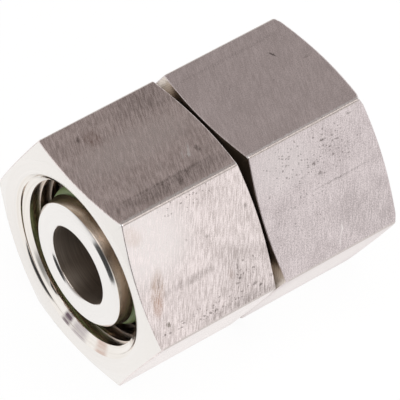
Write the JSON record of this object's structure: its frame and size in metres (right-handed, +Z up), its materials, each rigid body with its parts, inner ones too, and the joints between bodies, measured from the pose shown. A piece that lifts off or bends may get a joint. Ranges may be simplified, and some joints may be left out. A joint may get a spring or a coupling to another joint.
{
  "type": "swivel fitting",
  "caption": "Straight steel swivel connector: hexagon union nuts back to back on a hollow nipple, whose tapered ends carry soft seal rings.",
  "frame": {"origin": "under the middle of the fitting, on the surface that its lowest hexagon flats rest on", "axes": "+X along the flow axis towards the rear end, +Z up through the upper hexagon flats"},
  "size_m": [0.0344, 0.031, 0.027],
  "materials": {
    "nut_steel": "ground stainless steel, fine grinding lines across the flats",
    "nipple_steel": "turned stainless steel, smooth and bright",
    "seal_rubber": "green fluorocarbon rubber, satin"
  },
  "bodies": {
    "nipple": {"front_cone_nipple": "nipple_steel", "rear_cone_nipple": "nipple_steel", "front_seal_ring": "seal_rubber", "rear_seal_ring": "seal_rubber"},
    "front_nut": {"front_union_nut": "nut_steel"},
    "rear_nut": {"rear_union_nut": "nut_steel"}
  },
  "joints": [
    {"name": "front_nut_swivel", "type": "hinge", "parent": "nipple", "child": "front_nut", "pos_m": [-0.00865, 0, 0.0135], "axis": [1, 0, 0], "continuous": true},
    {"name": "rear_nut_swivel", "type": "hinge", "parent": "nipple", "child": "rear_nut", "pos_m": [0.00865, 0, 0.0135], "axis": [1, 0, 0], "continuous": true}
  ]
}
